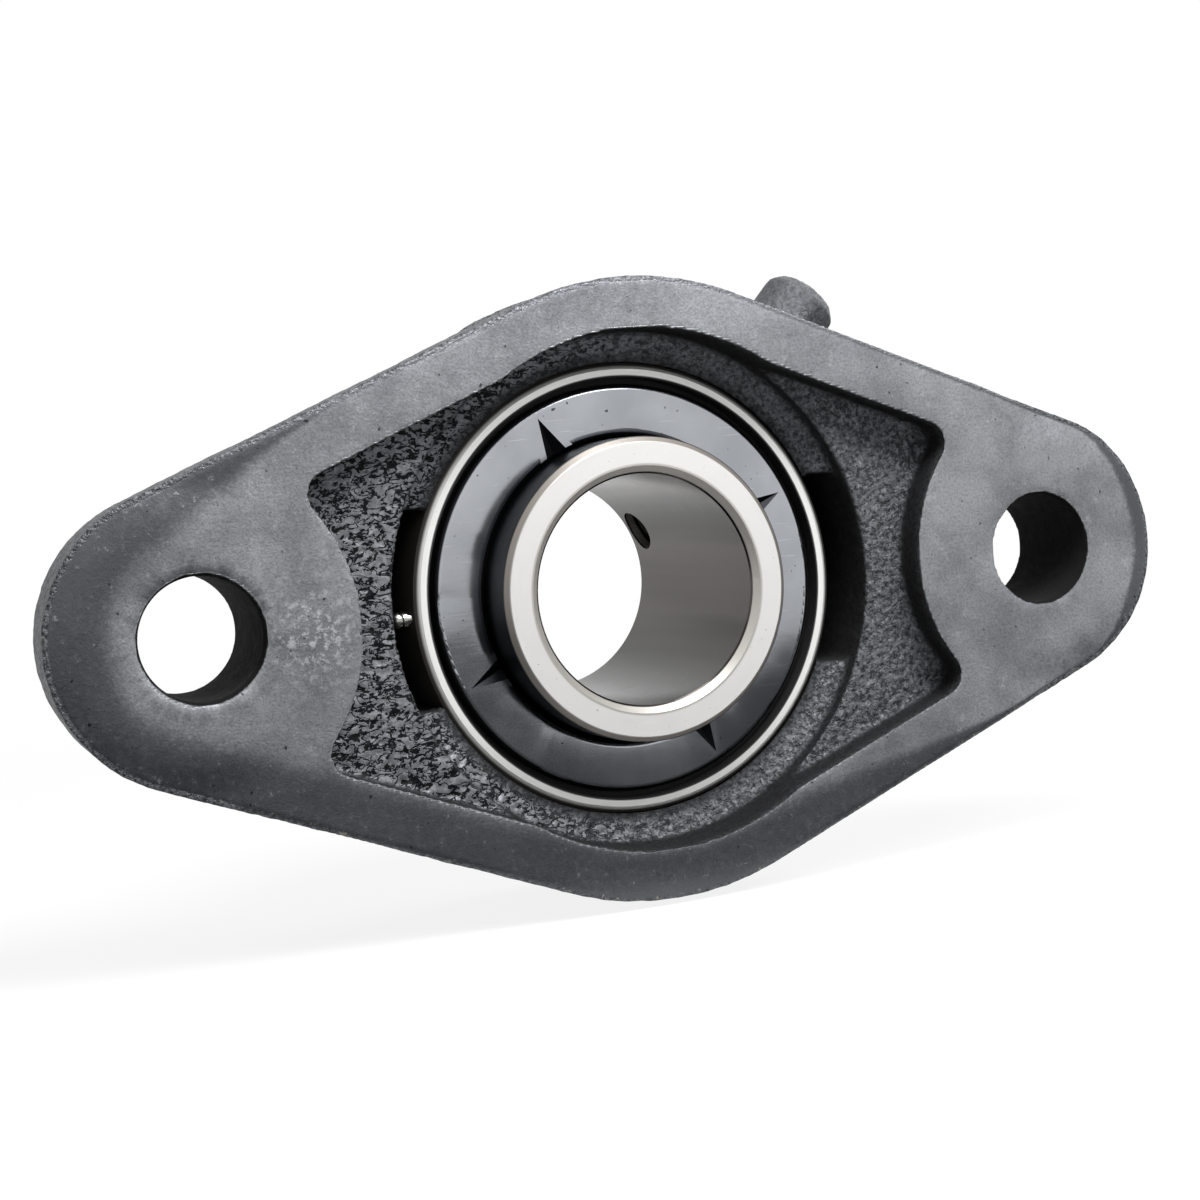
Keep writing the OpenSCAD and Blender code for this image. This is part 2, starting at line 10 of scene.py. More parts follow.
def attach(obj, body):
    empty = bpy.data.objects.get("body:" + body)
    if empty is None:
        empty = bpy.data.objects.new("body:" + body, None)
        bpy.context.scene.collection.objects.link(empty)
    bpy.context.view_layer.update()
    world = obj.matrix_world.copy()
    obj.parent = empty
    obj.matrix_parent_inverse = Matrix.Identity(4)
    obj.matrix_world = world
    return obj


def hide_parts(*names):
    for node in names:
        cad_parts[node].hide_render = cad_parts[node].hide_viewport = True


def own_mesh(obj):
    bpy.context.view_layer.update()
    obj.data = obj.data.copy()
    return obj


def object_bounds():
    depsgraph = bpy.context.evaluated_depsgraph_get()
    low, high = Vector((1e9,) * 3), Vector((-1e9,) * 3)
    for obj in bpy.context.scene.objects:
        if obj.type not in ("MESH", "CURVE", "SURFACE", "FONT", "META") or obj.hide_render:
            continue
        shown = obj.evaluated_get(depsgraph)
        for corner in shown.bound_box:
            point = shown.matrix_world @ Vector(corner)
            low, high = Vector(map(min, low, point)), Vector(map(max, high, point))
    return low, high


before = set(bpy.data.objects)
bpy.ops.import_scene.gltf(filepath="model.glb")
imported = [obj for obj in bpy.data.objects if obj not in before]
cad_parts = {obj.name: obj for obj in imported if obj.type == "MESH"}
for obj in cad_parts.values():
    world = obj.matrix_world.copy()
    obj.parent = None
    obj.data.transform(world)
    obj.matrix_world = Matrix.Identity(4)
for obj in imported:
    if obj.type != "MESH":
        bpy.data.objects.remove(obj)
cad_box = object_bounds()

bl_info = {
    "name": "Flange bearing",
    "version": (1, 0, 0),
    "blender": (4, 5, 0),
    "location": "3D View > Sidebar > Bearing",
    "description": "Finishes, cast skin, light and camera for a two-bolt flange bearing",
    "category": "Object",
}

MM = 0.001

# Measures of the part in millimetres, from the shaft's axis and the mounting face
SEAT_Y = 18.0
SPHERE_R = 31.0
BOLT_X = 58.5
BOLT_R = 7.5
BOSS_Y = 22.6
BOSS_DEGREES = 46
OUTER_RING_FACES = (8.6, 27.4)
OUTER_RING_MOUTH_R = 28.0
INNER_RING_FACES = (2.7, 39.6)
BORE_R = 15.0
FACE_FADE = 0.3


# Colours and nodes

def linear(hex_colour):
    """Turns an sRGB hex colour into linear RGBA."""
    parts = [int(hex_colour[i:i + 2], 16) / 255 for i in (1, 3, 5)]
    return [c / 12.92 if c <= 0.04045 else ((c + 0.055) / 1.055) ** 2.4 for c in parts] + [1.0]


def add(tree, kind, links=None, **settings):
    """Adds a node, with its settings, and with a link or a value for each named or numbered input."""
    node = tree.nodes.new(kind)
    for name, value in settings.items():
        setattr(node, name, value)
    for socket, source in (links or {}).items():
        if isinstance(source, bpy.types.NodeSocket):
            tree.links.new(source, node.inputs[socket])
        else:
            node.inputs[socket].default_value = source
    return node


def start_material(name, metallic, roughness):
    """Starts a material on one Principled shader and gives its tree, shader and object coordinates."""
    material = bpy.data.materials.new(name)
    material.use_nodes = True
    tree = material.node_tree
    shader = tree.nodes["Principled BSDF"]
    shader.inputs["Metallic"].default_value = metallic
    shader.inputs["Roughness"].default_value = roughness
    place = add(tree, "ShaderNodeTexCoord").outputs["Object"]
    return material, tree, shader, place


def noise(tree, place, size_mm, detail=3.0, roughness=0.5):
    """Noise whose features are about size_mm across."""
    return add(tree, "ShaderNodeTexNoise", {
        "Vector": place, "Scale": 1 / (size_mm * MM), "Detail": detail, "Roughness": roughness,
    }).outputs["Fac"]


def span(tree, value, low, high, to_low=0.0, to_high=1.0):
    """Maps the range low to high onto to_low to to_high, and clamps it."""
    return add(tree, "ShaderNodeMapRange", {
        "Value": value, "From Min": low, "From Max": high, "To Min": to_low, "To Max": to_high,
    }, interpolation_type="SMOOTHSTEP").outputs["Result"]


def sum_of(tree, a, b, operation="ADD"):
    """Joins two values by a sum, product or other operation."""
    return add(tree, "ShaderNodeMath", {0: a, 1: b}, operation=operation).outputs[0]


def blend(tree, factor, a, b, blend_type="MIX"):
    """Mixes two colours, each a hex string or a socket."""
    a = linear(a) if isinstance(a, str) else a
    b = linear(b) if isinstance(b, str) else b
    return add(tree, "ShaderNodeMix", {0: factor, 6: a, 7: b},
               data_type="RGBA", blend_type=blend_type).outputs[2]


def bump(tree, shader, height, depth_mm, strength=1.0):
    """Puts a relief depth_mm deep on the shader."""
    relief = add(tree, "ShaderNodeBump", {"Height": height, "Distance": depth_mm * MM, "Strength": strength})
    tree.links.new(relief.outputs["Normal"], shader.inputs["Normal"])


def lathe_place(tree, place):
    """Coordinates for marks that run round the shaft: radius, distance along it, and a little of the angle."""
    axes = add(tree, "ShaderNodeSeparateXYZ", {"Vector": place}).outputs
    flat = add(tree, "ShaderNodeCombineXYZ", {"X": axes["X"], "Z": axes["Z"]}).outputs[0]
    radius = add(tree, "ShaderNodeVectorMath", {0: flat}, operation="LENGTH").outputs["Value"]
    turn = sum_of(tree, axes["X"], axes["Z"], "ARCTAN2")
    drift = sum_of(tree, turn, 0.0006, "MULTIPLY")
    marks = add(tree, "ShaderNodeCombineXYZ", {"X": radius, "Y": axes["Y"], "Z": drift}).outputs[0]
    return marks, radius, axes


# Finishes, each named for what the real one is

def crinkled(tree, place, size_mm, thin, thick):
    """Sharp winding creases about size_mm apart: 0 in a crease, 1 on the flats between them."""
    winding = add(tree, "ShaderNodeTexNoise", {
        "Vector": place, "Scale": 1 / (size_mm * MM), "Detail": 2.5, "Roughness": 0.55, "Distortion": 0.8,
    }).outputs["Fac"]
    away = sum_of(tree, sum_of(tree, winding, 0.5, "SUBTRACT"), 0.0, "ABSOLUTE")
    return span(tree, away, thin, thick)


def sand_cast_iron(look):
    """Grey iron cast in sand: a rubbed land with a dull sheen and a crinkled black-grey skin in the recess, with
    shade painted on the walls, in the creases and along the rim.
    """
    material, tree, shader, place = start_material("sand_cast_iron", 0.85, 0.4)
    shader.inputs["Specular IOR Level"].default_value = 0.15
    marks = {name: add(tree, "ShaderNodeAttribute", attribute_name=name).outputs["Fac"]
             for name in ("cast_zone", "painted_wall_shade", "rim", "handled", "shade", "brink", "fringe", "bold")}
    cloud = noise(tree, place, 14, 5, 0.6)
    grain = noise(tree, place, 0.35, 4, 0.7)
    speck = noise(tree, place, 1.1, 5, 0.75)
    scuff = noise(tree, place, 5, 6, 0.78)
    pore = noise(tree, place, 0.9, 2, 0.4)
    face = blend(tree, span(tree, cloud, 0.36, 0.64), look.land_dark, look.land_light)
    face = blend(tree, span(tree, grain, 0.32, 0.6, 0.35, 0.0), face, "#3a3b3e")
    face = blend(tree, span(tree, scuff, 0.56, 0.7, 0.0, 0.45), face, look.rubbed)
    # Painted shade: the land darkens in a band along the flange's rim, widest on the lower left, and on the boss
    ragged = sum_of(tree, marks["rim"], sum_of(tree, sum_of(tree, speck, 0.5, "SUBTRACT"), 1.1, "MULTIPLY"))
    face = blend(tree, span(tree, ragged, 0.15, 0.75, 0.0, 0.85), face, look.rim_shade_and_scuffs)
    face = blend(tree, sum_of(tree, marks["fringe"], 0.35, "MULTIPLY"), face, look.rim_shade_and_scuffs)
    flecks = sum_of(tree, span(tree, speck, 0.5, 0.6), marks["handled"], "MULTIPLY")
    face = blend(tree, sum_of(tree, flecks, 0.75, "MULTIPLY"), face, "#c6c7c9")
    face = blend(tree, span(tree, speck, 0.6, 0.7, 0.0, 0.35), face, look.rubbed)
    face = blend(tree, span(tree, pore, 0.71, 0.76, 0.0, 0.8), face, look.pit_and_crease_shade)
    chips = sum_of(tree, span(tree, noise(tree, place, 1.6, 4, 0.75), 0.6, 0.66), marks["brink"], "MULTIPLY")
    face = blend(tree, chips, face, "#b9b2a2")
    # Stretched along X, as the sand dragged when the pattern was drawn
    dragged = add(tree, "ShaderNodeMapping", {"Vector": place, "Scale": (0.62, 1.0, 1.15)}).outputs[0]
    bold = crinkled(tree, dragged, look.crust, 0.024, 0.046)
    mottle = noise(tree, dragged, look.crust * 0.6, 3, 0.6)
    bold = sum_of(tree, bold, span(tree, mottle, 0.41, 0.45), "MULTIPLY")
    fine = span(tree, noise(tree, place, 0.6, 3, 0.6), 0.34, 0.6, 0.25, 1.0)
    crust = add(tree, "ShaderNodeMix", {0: marks["bold"], 2: fine, 3: bold}).outputs[0]
    pale = blend(tree, marks["bold"], look.cast_far, look.cast)
    pale = blend(tree, span(tree, grain, 0.4, 0.7, 0.0, 0.2), pale, look.rubbed)
    # Painted shade: the creases of the crinkled skin take the same near black as the pits
    rough_cast = blend(tree, crust, look.pit_and_crease_shade, pale)
    # Painted shade: the floor darkens next to the walls, and the walls themselves are near black
    rough_cast = blend(tree, marks["shade"], rough_cast, look.wall_shade_colour)
    rough_cast = blend(tree, marks["painted_wall_shade"], rough_cast, look.wall_shade_colour)
    colour = blend(tree, marks["cast_zone"], face, rough_cast)
    tree.links.new(colour, shader.inputs["Base Color"])
    shine = span(tree, marks["cast_zone"], 0.0, 1.0, 0.85, 0.45)
    bare = span(tree, marks["painted_wall_shade"], 0.0, 1.0, 1.0, 0.1)
    tree.links.new(sum_of(tree, shine, bare, "MULTIPLY"), shader.inputs["Metallic"])
    gloss = span(tree, speck, 0.3, 0.7, 0.3, 0.46)
    gloss = sum_of(tree, gloss, sum_of(tree, marks["cast_zone"], 0.12, "MULTIPLY"))
    gloss = sum_of(tree, gloss, sum_of(tree, marks["painted_wall_shade"], 0.4, "MULTIPLY"))
    tree.links.new(gloss, shader.inputs["Roughness"])
    fine_relief = sum_of(tree, sum_of(tree, grain, 0.3, "MULTIPLY"), sum_of(tree, speck, 0.5, "MULTIPLY"))
    quiet = span(tree, marks["cast_zone"], 0.0, 1.0, 0.65, 0.8)
    on_floor = sum_of(tree, marks["cast_zone"], sum_of(tree, 1.0, marks["painted_wall_shade"], "SUBTRACT"), "MULTIPLY")
    deep_relief = sum_of(tree, crust, on_floor, "MULTIPLY")
    bump(tree, shader, sum_of(tree, sum_of(tree, fine_relief, quiet, "MULTIPLY"), deep_relief), 0.16, 0.9)
    return material


def ground_bearing_steel():
    """Through-hardened steel with ground faces: bright and satin, with very fine rings round the axis."""
    material, tree, shader, place = start_material("ground_bearing_steel", 0.6, 0.42)
    marks, radius, axes = lathe_place(tree, place)
    rings = noise(tree, marks, 0.12, 2)
    speck = noise(tree, place, 0.5, 4, 0.7)
    colour = blend(tree, span(tree, speck, 0.68, 0.74), "#dcdcda", "#6b6966")
    low, high = OUTER_RING_FACES
    back = span(tree, axes["Y"], low * MM, (low + FACE_FADE) * MM)
    front = span(tree, axes["Y"], (high - FACE_FADE) * MM, high * MM, 1.0, 0.0)
    side = sum_of(tree, back, front, "MULTIPLY")
    colour = blend(tree, side, colour, "#3b3835")
    # Painted shade: inside the mouth the ring is near black, dull and not metallic, for the dark gap next to the
    # flinger
    gap_shade = span(tree, radius, (OUTER_RING_MOUTH_R - 0.1) * MM, (OUTER_RING_MOUTH_R + 0.1) * MM, 1.0, 0.0)
    colour = blend(tree, gap_shade, colour, "#0c0c0d")
    tree.links.new(colour, shader.inputs["Base Color"])
    tree.links.new(span(tree, gap_shade, 0.0, 1.0, 0.6, 0.0), shader.inputs["Metallic"])
    satin = span(tree, rings, 0.3, 0.7, 0.38, 0.48)
    tree.links.new(sum_of(tree, satin, sum_of(tree, gap_shade, 0.3, "MULTIPLY")), shader.inputs["Roughness"])
    bump(tree, shader, rings, 0.004, 0.4)
    return material


def turned_ring_steel():
    """The inner ring: a finely turned pale end face, an outside painted near black as painted shade and
    reflection, and a honed bore with a brown film, banded and darker below as painted reflection and shade.
    """
    material, tree, shader, place = start_material("turned_ring_steel", 0.6, 0.35)
    marks, radius, axes = lathe_place(tree, place)
    rings = noise(tree, marks, 0.15, 2)
    pits = noise(tree, place, 0.45, 3, 0.6)
    film = noise(tree, place, 14, 2)
    # Painted reflection: colour bands that run along the shaft and vary only round the bore stand in for its
    # banded reflections
    bore_band_place = add(tree, "ShaderNodeMapping", {"Vector": place, "Scale": (1.0, 0.06, 1.0)}).outputs[0]
    bore_reflection_bands = noise(tree, bore_band_place, 11, 3)
    bore = blend(tree, span(tree, bore_reflection_bands, 0.38, 0.62), "#292725", "#4f4b48")
    # Painted shade: the bore is darker on its lower side
    lower_bore_shade = span(tree, axes["Z"], -13 * MM, -2 * MM, 0.55, 0.0)
    bore = blend(tree, lower_bore_shade, bore, "#1b1a19")
    # Painted shade and reflection: the ring's outside, between its end faces, is near black
    outside_shade = blend(tree, span(tree, film, 0.35, 0.65), "#232528", "#3a3c40")
    end_face = blend(tree, span(tree, pits, 0.71, 0.76), "#cac9c7", "#6d6b69")
    low, high = INNER_RING_FACES
    back = span(tree, axes["Y"], low * MM, (low + 0.2) * MM)
    front = span(tree, axes["Y"], (high - 0.2) * MM, high * MM, 1.0, 0.0)
    middle = sum_of(tree, back, front, "MULTIPLY")
    end_face = blend(tree, span(tree, radius, 18.95 * MM, 19.2 * MM), end_face, "#7d7873")
    colour = blend(tree, middle, end_face, outside_shade)
    in_bore = span(tree, radius, (BORE_R + 0.15) * MM, (BORE_R + 0.3) * MM, 1.0, 0.0)
    chamfer = span(tree, radius, (BORE_R + 1.1) * MM, (BORE_R + 1.4) * MM, 1.0, 0.0)
    colour = blend(tree, chamfer, colour, "#a09d98")
    colour = blend(tree, in_bore, colour, bore)
    tree.links.new(colour, shader.inputs["Base Color"])
    dark = sum_of(tree, in_bore, sum_of(tree, middle, chamfer, "SUBTRACT"), "MAXIMUM")
    tree.links.new(span(tree, dark, 0.0, 1.0, 0.6, 1.0), shader.inputs["Metallic"])
    satin = span(tree, rings, 0.3, 0.7, 0.36, 0.46)
    satin = sum_of(tree, satin, sum_of(tree, in_bore, 0.2, "MULTIPLY"), "SUBTRACT")
    tree.links.new(satin, shader.inputs["Roughness"])
    bump(tree, shader, sum_of(tree, sum_of(tree, rings, 0.3, "MULTIPLY"), pits), 0.006, 0.5)
    return material


def lapped_ball_steel():
    """Chromium steel balls, lapped to a mirror, with the faintest haze."""
    material, tree, shader, place = start_material("lapped_ball_steel", 1.0, 0.08)
    haze = noise(tree, place, 2.0, 3)
    tree.links.new(blend(tree, haze, "#cfd1d3", "#e4e5e6"), shader.inputs["Base Color"])
    tree.links.new(span(tree, haze, 0.3, 0.7, 0.05, 0.14), shader.inputs["Roughness"])
    return material


def pressed_steel():
    """Cold-rolled strip, pressed: grey, with the mill's fine grain and small press marks."""
    material, tree, shader, place = start_material("pressed_steel", 1.0, 0.4)
    grain = noise(tree, place, 0.4, 4, 0.6)
    marks = noise(tree, place, 3.0, 2)
    tree.links.new(blend(tree, marks, "#8d9093", "#a9abad"), shader.inputs["Base Color"])
    tree.links.new(span(tree, grain, 0.3, 0.7, 0.32, 0.5), shader.inputs["Roughness"])
    bump(tree, shader, grain, 0.01, 0.5)
    return material


def phosphated_strip():
    """Phosphated and oiled steel strip: a soft mirror with dust specks and scratches, whose pressed dimples,
    rolled rim and collar are painted near black as painted shade.
    """
    material, tree, shader, place = start_material("phosphated_strip", 1.0, 0.2)
    cloud = noise(tree, place, 12, 3)
    specks = noise(tree, place, 0.7, 2, 0.4)
    scratch_place = add(tree, "ShaderNodeMapping", {
        "Vector": place, "Rotation": (0.0, 0.6, 0.0), "Scale": (0.06, 1.0, 1.0)}).outputs[0]
    scratches = noise(tree, scratch_place, 0.35, 2)
    normal = add(tree, "ShaderNodeTexCoord").outputs["Normal"]
    facing = add(tree, "ShaderNodeSeparateXYZ", {"Vector": normal}).outputs["Y"]
    flat = span(tree, sum_of(tree, facing, 0.0, "ABSOLUTE"), 0.9, 0.98)
    colour = blend(tree, span(tree, cloud, 0.3, 0.7), "#a0a3a8", "#b4b7bc")
    colour = blend(tree, span(tree, scratches, 0.68, 0.74, 0.0, 0.3), colour, "#d3d6da")
    colour = blend(tree, span(tree, specks, 0.74, 0.78, 0.0, 0.8), colour, "#1d1e20")
    # Painted shade: every face that does not lie flat, in the dimples, the rim and the collar, is near black and
    # less glossy
    colour = blend(tree, flat, "#232427", colour)
    tree.links.new(colour, shader.inputs["Base Color"])
    shine = span(tree, cloud, 0.3, 0.7, 0.12, 0.2)
    tree.links.new(sum_of(tree, shine, span(tree, flat, 0.0, 1.0, 0.3, 0.0)), shader.inputs["Roughness"])
    bump(tree, shader, sum_of(tree, specks, scratches), 0.005, 0.3)
    return material


def blackened_strip():
    """Blackened steel strip, as used for the cores of seals: matt, with a fine rolled grain."""
    material, tree, shader, place = start_material("blackened_strip", 0.3, 0.65)
    grain = noise(tree, place, 0.3, 3)
    tree.links.new(blend(tree, grain, "#101011", "#1e1e20"), shader.inputs["Base Color"])
    bump(tree, shader, grain, 0.01, 0.5)
    return material


def nitrile_rubber():
    """Moulded nitrile rubber: black, dull, with a fine mould grain."""
    material, tree, shader, place = start_material("nitrile_rubber", 0.0, 0.6)
    grain = noise(tree, place, 0.3, 3)
    tree.links.new(blend(tree, grain, "#0d0d0e", "#1c1c1d"), shader.inputs["Base Color"])
    bump(tree, shader, grain, 0.02, 0.5)
    return material


def black_oxide_steel():
    """Alloy steel set screw with an oiled black oxide coat, worn grey on its edges."""
    material, tree, shader, place = start_material("black_oxide_steel", 1.0, 0.35)
    wear = noise(tree, place, 0.6, 4, 0.6)
    tree.links.new(blend(tree, span(tree, wear, 0.5, 0.75), "#1f1e1e", "#4d4b49"), shader.inputs["Base Color"])
    tree.links.new(span(tree, wear, 0.3, 0.7, 0.28, 0.45), shader.inputs["Roughness"])
    bump(tree, shader, wear, 0.015, 0.4)
    return material


def bright_pin_steel():
    """A drawn steel pin with a tumbled, rounded head: bright and smooth."""
    material, tree, shader, place = start_material("bright_pin_steel", 1.0, 0.2)
    haze = noise(tree, place, 0.5, 3)
    tree.links.new(blend(tree, haze, "#8f8e8a", "#b5b4b0"), shader.inputs["Base Color"])
    tree.links.new(span(tree, haze, 0.3, 0.7, 0.14, 0.28), shader.inputs["Roughness"])
    return material


def zinc_plated_fitting():
    """Turned steel grease nipple with a bright zinc coat: silver with a warm cast and lathe rings."""
    material, tree, shader, place = start_material("zinc_plated_fitting", 1.0, 0.25)
    grain = noise(tree, place, 0.3, 3)
    cloud = noise(tree, place, 3, 2)
    tree.links.new(blend(tree, cloud, "#b7ad8e", "#d3cbb2"), shader.inputs["Base Color"])
    tree.links.new(span(tree, grain, 0.3, 0.7, 0.18, 0.34), shader.inputs["Roughness"])
    bump(tree, shader, grain, 0.01, 0.4)
    return material


def spring_wire():
    """Drawn spring wire: bright, with faint die lines."""
    material, tree, shader, place = start_material("spring_wire", 1.0, 0.25)
    lines = noise(tree, place, 0.15, 2)
    tree.links.new(blend(tree, lines, "#9d9c99", "#c9c8c5"), shader.inputs["Base Color"])
    return material


def dress(mesh, material):
    """Puts one material on a mesh in place of what it had."""
    mesh.materials.clear()
    mesh.materials.append(material)


def give(names, material):
    """Gives CAD nodes their finish."""
    for name in names:
        dress(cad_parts[name].data, material)


# Cast skin

def layered(points, size_mm, seed, layers=3):
    """Smooth noise from about 0 to 1 at each point (in mm), with features about size_mm across."""
    shift = Vector((seed * 7.3, seed * 3.1, seed * 5.7))
    values = [solid_noise.fractal(Vector(p) / size_mm + shift, 0.8, 2.0, layers) for p in points]
    return np.clip(0.5 + 0.55 * np.array(values), 0, 1)


def ramp(value, low, high):
    """Rises smoothly from 0 at low to 1 at high."""
    t = np.clip((value - low) / (high - low), 0, 1)
    return t * t * (3 - 2 * t)


def merged_copy(node, name):
    """A closed copy of a CAD node's mesh, as a new object."""
    work = bmesh.new()
    work.from_mesh(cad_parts[node].data)
    bmesh.ops.remove_doubles(work, verts=work.verts, dist=0.5e-6)
    mesh = bpy.data.meshes.new(name)
    work.to_mesh(mesh)
    work.free()
    piece = bpy.data.objects.new(name, mesh)
    bpy.context.scene.collection.objects.link(piece)
    return piece


def shade_smooth(mesh):
    """Shades every face of a mesh smooth."""
    mesh.polygons.foreach_set("use_smooth", [True] * len(mesh.polygons))


def bake_modifiers(piece):
    """Puts the result of a piece's modifiers into its mesh."""
    graph = bpy.context.evaluated_depsgraph_get()
    result = bpy.data.meshes.new_from_object(piece.evaluated_get(graph))
    piece.modifiers.clear()
    piece.data = result


def widen_rim(piece, by_mm):
    """Rolls the rim of a flinger outwards, and leaves its collar and dimples where they are."""
    place = np.empty(len(piece.data.vertices) * 3)
    piece.data.vertices.foreach_get("co", place)
    place = place.reshape(-1, 3)
    radius = np.hypot(place[:, 0], place[:, 2]) / MM
    grow = 1 + by_mm * ramp(radius, 22.5, 26.2) / radius
    place[:, 0] *= grow
    place[:, 2] *= grow
    piece.data.vertices.foreach_set("co", place.ravel())
    shade_smooth(piece.data)
    piece.data.set_sharp_from_angle(angle=math.radians(8))
    piece.data.update()


def flange_edge(x, z):
    """Distance in mm of points from the flange's outline, negative inside it."""
    big = -cad_box[0][2] / MM
    small = cad_box[1][0] / MM - BOLT_X
    lean = (big - small) / BOLT_X
    upright = math.sqrt(1 - lean * lean)
    x, z = np.abs(x), np.abs(z)
    along = x * upright - z * lean
    middle = np.hypot(x, z) - big
    lug = np.hypot(x - BOLT_X, z) - small
    return np.where(along < 0, middle, np.where(along > upright * BOLT_X, lug, z * upright + x * lean - big))


def boss_offset(x, y, z):
    """How far each point lies from the axis of the grease boss, and 1 where it belongs to the boss."""
    turn = math.radians(BOSS_DEGREES)
    reach = x * math.cos(turn) + z * math.sin(turn)
    off = np.stack([x - reach * math.cos(turn), y - BOSS_Y, z - reach * math.sin(turn)], axis=1)
    near = ramp(-np.linalg.norm(off, axis=1), -10.5, -9.5)
    return off, near * ramp(reach, 38.5, 41) * ramp(y, 14.8, 16)


def spread(mesh, values, steps):
    """Softens values over the mesh, from each point to its neighbours."""
    ends = np.empty(len(mesh.edges) * 2, dtype=np.int32)
    mesh.edges.foreach_get("vertices", ends)
    first, last = ends.reshape(-1, 2).T
    count = len(values)
    links = np.bincount(first, minlength=count) + np.bincount(last, minlength=count)
    for _ in range(steps):
        around = np.bincount(first, values[last], count) + np.bincount(last, values[first], count)
        values = 0.5 * values + 0.5 * around / np.maximum(links, 1)
    return values


def cast_skin(piece, look):
    """Presses the sand's grain into the casting, always inwards, and keeps the machined seat clean."""
    mesh = piece.data
    count = len(mesh.vertices)
    place = np.empty(count * 3)
    normal = np.empty(count * 3)
    mesh.vertices.foreach_get("co", place)
    mesh.vertices.foreach_get("normal", normal)
    place = place.reshape(-1, 3) / MM
    normal = normal.reshape(-1, 3)
    x, y, z = place.T
    from_seat = np.sqrt(x * x + (y - SEAT_Y) ** 2 + z * z)
    from_bolt = np.hypot(np.abs(x) - BOLT_X, z)
    seat = (np.abs(from_seat - SPHERE_R) < 0.7) & (np.abs(y - SEAT_Y) < 9.6)
    # Where things are: the flat land, the floor of the recess, the bolt holes
    faces_back = ramp(-normal[:, 1], 0.3, 0.8)
    land = ramp(-y, -1.2, -0.5) * faces_back
    floor = ramp(y, 2.5, 4) * ramp(-y, -9, -8) * faces_back * (from_bolt > 8)
    in_hole = (from_bolt < 7.9) & (y > 0.6)
    # How deep the grain goes at each point
    coarse = layered(place, look.wrinkle, 3, 3)
    wrinkle = ramp(np.abs(coarse - 0.5), 0.0, 0.17)
    fine = layered(place, 1.6, 11, 3)
    wave = layered(place, 12, 23, 2)
    depth = floor * (1 - wrinkle) * look.wrinkle_depth
    depth += (1 - floor) * (1 - land) * (0.14 * fine + 0.2 * wave) * ~in_hole
    depth += land * 0.05 * wave
    worn = 0.12 + 0.14 * ramp(-x, 0, 30)
    depth += land * worn * (1 - ramp(from_bolt, 7.3, 9.4)) ** 2
    depth += land * 0.55 * ramp(from_bolt, 12, 19) ** 2 * ramp(np.abs(x), 50, 62)
    depth[seat] = 0
    # What the finish reads: where the skin is bare, worn or chipped, and where shade is painted on the walls,
    # along the rim and on the boss
    flat_back = land * ramp(-normal[:, 1], 0.82, 0.985)
    out_of_boss, boss = boss_offset(x, y, z)
    # Painted shade: a dark band along the rim, wider towards the lower left, and over the whole boss
    lower_left = ramp(-(x * 0.5 + z), -8, 28)
    band = 1.2 + 7.5 * lower_left + 3 * ramp(np.abs(x), 66, 76)
    rim = land * (1 - ramp(-flange_edge(x, z) / band, 0.25, 1.3))
    brink = ramp(flange_edge(x, z), -1.1, -0.5) * ramp(-z, 4, 20)
    turn = np.arctan2(z, np.abs(x) - BOLT_X) * BOLT_R
    streak = layered(np.stack([turn, from_bolt * 0.3, x * 0.02], axis=1), 0.9, 31, 2)
    fringe = land * ramp(streak, 0.48, 0.62) * ramp(-from_bolt, -12.5, -8) * (0.35 + 0.65 * (x < 0))
    handled = land * np.exp(-((x + 45) ** 2 + (z + 1) ** 2) / 22)
    place -= normal * depth[:, None] + out_of_boss * ((1 - look.boss_share) * boss)[:, None]
    out = place[seat] - [0, SEAT_Y, 0]
    place[seat] = [0, SEAT_Y, 0] + out / np.linalg.norm(out, axis=1)[:, None] * (SPHERE_R + 0.15)
    mesh.vertices.foreach_set("co", (place * MM).ravel())
    # Painted shade: the walls of the recess, the holes and the slots are marked near black, the mark is softened
    # onto the floor beside them, and the boss takes part of it
    enclosed = (y < 13) | (from_bolt < 8.2) | ((np.hypot(x, z) < 36) & (y < 27))
    wall_shade_mask = enclosed * ramp(-flange_edge(x, z), 1.2, 2.2) * (1 - flat_back) * (1 - floor) * (1 - boss)
    wall_shade_mask *= np.where(from_bolt < 8.6, 1, 0.75)
    shade = spread(mesh, wall_shade_mask * (place[:, 1] > 0.8), 16) * (1 - flat_back)
    marks = {"cast_zone": (1 - flat_back) * (1 - 0.4 * boss), "painted_wall_shade": wall_shade_mask + 0.45 * boss,
             "shade": shade, "rim": np.maximum(rim, boss), "handled": handled, "brink": brink,
             "fringe": fringe, "bold": floor * ramp(-x, -30, 22)}
    for name, values in marks.items():
        mesh.attributes.new(name, "FLOAT", "POINT").data.foreach_set("value", values.astype(np.float32))
    mesh.update()


# What a user would change

